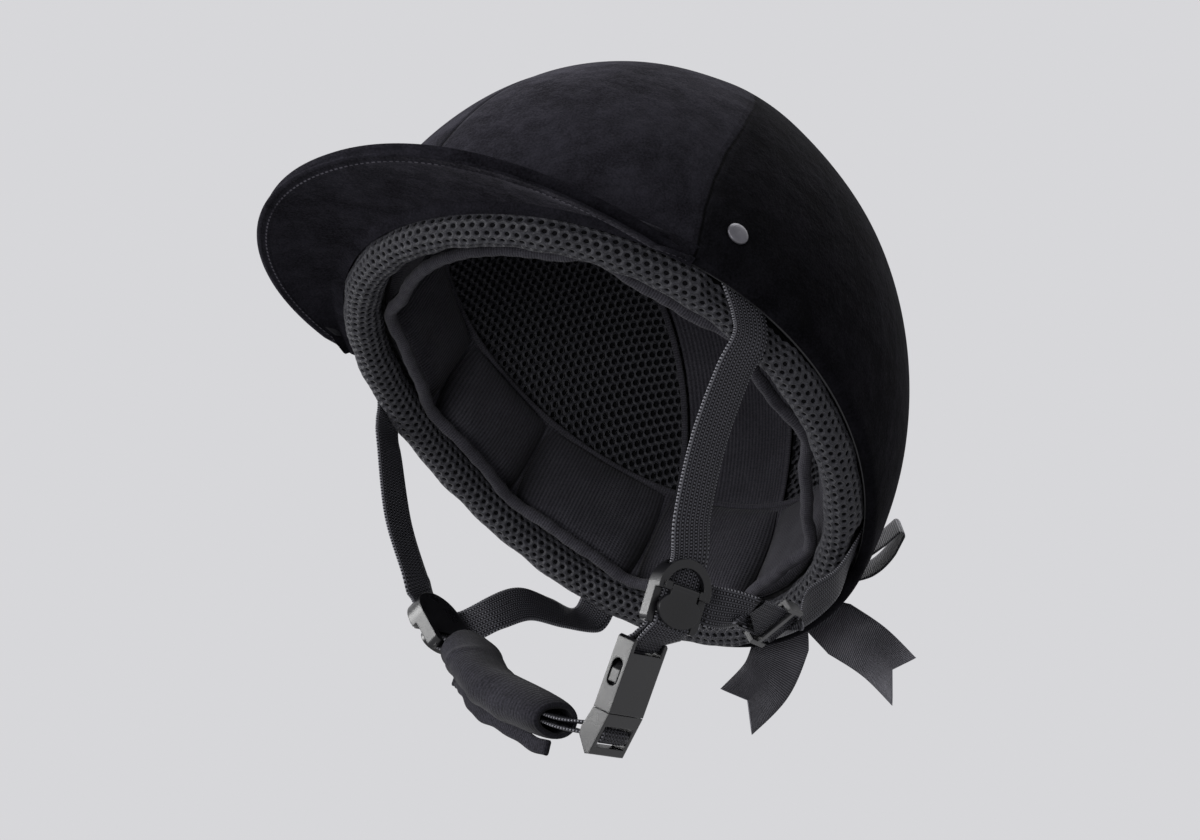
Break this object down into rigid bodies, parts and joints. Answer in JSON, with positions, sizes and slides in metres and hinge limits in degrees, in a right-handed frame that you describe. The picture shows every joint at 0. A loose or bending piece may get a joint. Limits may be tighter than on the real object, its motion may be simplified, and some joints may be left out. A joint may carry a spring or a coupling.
{
  "type": "riding helmet",
  "caption": "Velvet-covered riding helmet with peak, padded lining, webbing chin harness with side-release buckle, and a ribbon bow at the rear.",
  "frame": {"origin": "centre of the head opening, at the height of the rim at the front and rear", "axes": "+Z to the crown, -Y to the peak, +X to the wearer's left"},
  "size_m": [0.2188, 0.337, 0.3119],
  "materials": {
    "shell_plastic": "moulded, slightly glossy",
    "liner_foam": "fine bead foam",
    "velvet": "short pile, dark navy",
    "peak_board": "stiff board, hidden",
    "lining_mesh": "open hexagonal mesh over a soft roll",
    "lining_knit": "fine knit over foam",
    "rivet_steel": "domed, satin",
    "webbing": "woven, tight",
    "harness_plastic": "moulded, half gloss",
    "pin_steel": "drawn wire, hidden in the lid",
    "sleeve_knit": "charcoal ribbed knit",
    "ribbon": "mid grey ribbed grosgrain ribbon"
  },
  "bodies": {
    "helmet": {"shell": "shell_plastic", "impact_liner": "liner_foam", "cover_front_left": "velvet", "cover_front_right": "velvet", "cover_rear_left": "velvet", "cover_rear_right": "velvet", "top_button": "velvet", "peak_core": "peak_board", "peak_cover_top": "velvet", "peak_cover_under": "velvet", "peak_piping": "velvet", "rim_roll": "lining_mesh", "headband": "lining_knit", "headband_piping": "lining_knit", "brow_pad": "lining_knit", "temple_pad_left": "lining_knit", "temple_pad_right": "lining_knit", "side_front_pad_left": "lining_knit", "side_front_pad_right": "lining_knit", "side_rear_pad_left": "lining_knit", "side_rear_pad_right": "lining_knit", "rear_pad_left": "lining_knit", "rear_pad_right": "lining_knit", "crown_lining": "lining_mesh", "crown_strap_pad": "lining_knit", "crown_binding": "lining_knit", "side_rivets": "rivet_steel", "rear_rivets": "rivet_steel", "front_strap_left": "webbing", "front_strap_right": "webbing", "rear_strap_left": "webbing", "rear_strap_right": "webbing", "divider_frame_left": "harness_plastic", "divider_frame_right": "harness_plastic", "buckle_strap": "webbing", "buckle_socket": "harness_plastic", "bow_loop_left": "ribbon", "bow_loop_right": "ribbon", "bow_tail_left": "ribbon", "bow_tail_right": "ribbon", "bow_knot": "ribbon"},
    "chin": {"chin_strap": "webbing"},
    "sleeve": {"chin_sleeve": "sleeve_knit", "sleeve_hem": "sleeve_knit"},
    "plug": {"buckle_plug": "harness_plastic"},
    "arm_front": {"buckle_arm_front": "harness_plastic"},
    "arm_back": {"buckle_arm_back": "harness_plastic"},
    "lid_left": {"divider_cap_left": "harness_plastic", "divider_pin_left": "pin_steel"},
    "lid_right": {"divider_cap_right": "harness_plastic", "divider_pin_right": "pin_steel"},
    "glide": {"triglide_left": "harness_plastic"}
  },
  "joints": [
    {"name": "chin_open", "type": "hinge", "parent": "helmet", "child": "chin", "pos_m": [-0.06431, 0.02927, -0.07286], "axis": [-0.08, 0.8199, 0.5669], "range_deg": [0, 30], "deforming": ["buckle_arm_front", "buckle_arm_back"]},
    {"name": "plug_align", "type": "hinge", "parent": "chin", "child": "plug", "pos_m": [0.0363, 0.0442, -0.1219], "axis": [-0.08, 0.8199, 0.5669], "range_deg": [-30, 0]},
    {"name": "sleeve_slide", "type": "slide", "parent": "chin", "child": "sleeve", "axis": [0.8558, 0.0563, -0.5142], "range_m": [-0.002, 0.003]},
    {"name": "arm_front_press", "type": "hinge", "parent": "plug", "child": "arm_front", "pos_m": [0.04025, 0.03462, -0.12018], "axis": [-0.8941, -0.3105, 0.3229], "range_deg": [0, 8], "stiffness_Nm_per_rad": 0.4},
    {"name": "arm_back_press", "type": "hinge", "parent": "plug", "child": "arm_back", "pos_m": [0.0391, 0.04642, -0.11202], "axis": [0.8941, 0.3105, -0.3229], "range_deg": [0, 8], "stiffness_Nm_per_rad": 0.4},
    {"name": "lid_left_open", "type": "hinge", "parent": "helmet", "child": "lid_left", "pos_m": [0.07138, 0.01868, -0.07709], "axis": [-0.2337, -0.902, -0.3632], "range_deg": [0, 70]},
    {"name": "lid_right_open", "type": "hinge", "parent": "helmet", "child": "lid_right", "pos_m": [-0.07536, 0.02341, -0.06595], "axis": [-0.08, 0.8199, 0.5669], "range_deg": [0, 70]},
    {"name": "glide_slide", "type": "slide", "parent": "helmet", "child": "glide", "axis": [0.1805, -0.8521, -0.4912], "range_m": [0, 0.012]}
  ],
  "couplings": [
    {"joint": "plug_align", "follows": "chin_open", "ratio": -1}
  ]
}
